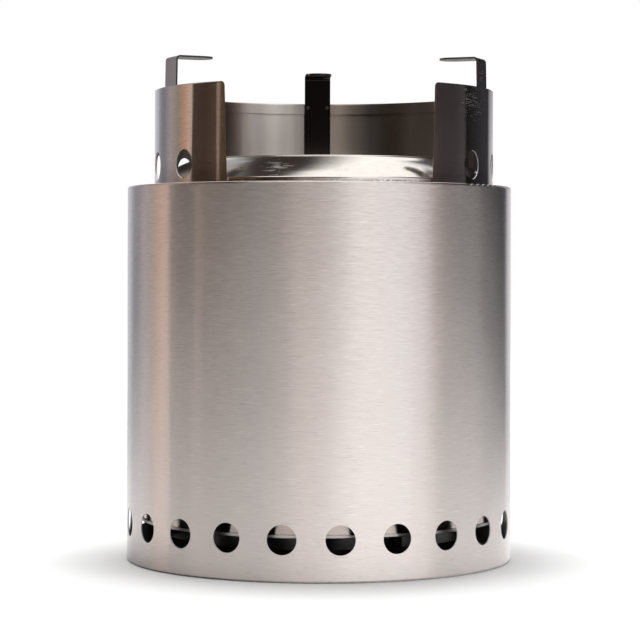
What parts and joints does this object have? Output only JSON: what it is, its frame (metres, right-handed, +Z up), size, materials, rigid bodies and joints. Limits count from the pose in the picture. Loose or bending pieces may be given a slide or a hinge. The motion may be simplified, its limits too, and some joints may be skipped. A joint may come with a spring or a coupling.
{
  "type": "twig stove",
  "caption": "Double-walled cylindrical twig stove of brushed steel with vent holes round its foot, a wire grate inside and a lift-off pot ring with an open feed mouth and pot arms.",
  "frame": {"origin": "centre of the foot, on the floor that the stove stands on", "axes": "+Z up along the body's axis; the feed mouth of the pot ring faces -Y; +X to the right seen from the mouth"},
  "size_m": [0.1778, 0.1778, 0.2299],
  "materials": {
    "shell_steel": "brushed",
    "inner_steel": "satin",
    "firebox_steel": "brushed",
    "grate_wire": "drawn wire",
    "ring_steel": "brushed",
    "cone_steel": "bright",
    "arm_steel": "satin",
    "weld_spots": "dull"
  },
  "bodies": {
    "stove": {"outer_shell": "shell_steel", "base_plate": "inner_steel", "heat_shield": "inner_steel", "shield_spacers": "inner_steel", "ash_pan": "inner_steel", "firebox_wall": "firebox_steel", "grate_lugs": "inner_steel", "grate_spokes": "grate_wire", "grate_ring_1": "grate_wire", "grate_ring_2": "grate_wire", "grate_ring_3": "grate_wire", "grate_ring_4": "grate_wire", "grate_ring_5": "grate_wire"},
    "pot_ring": {"ring_wall": "ring_steel", "ring_cone": "cone_steel", "skirt_welds": "weld_spots", "arm_right": "arm_steel", "arm_back": "arm_steel", "arm_left": "arm_steel", "arm_welds": "weld_spots"}
  },
  "joints": [
    {"name": "pot_ring_lift", "type": "slide", "parent": "stove", "child": "pot_ring", "axis": [0, 0, 1], "range_m": [0, 0.08]}
  ]
}
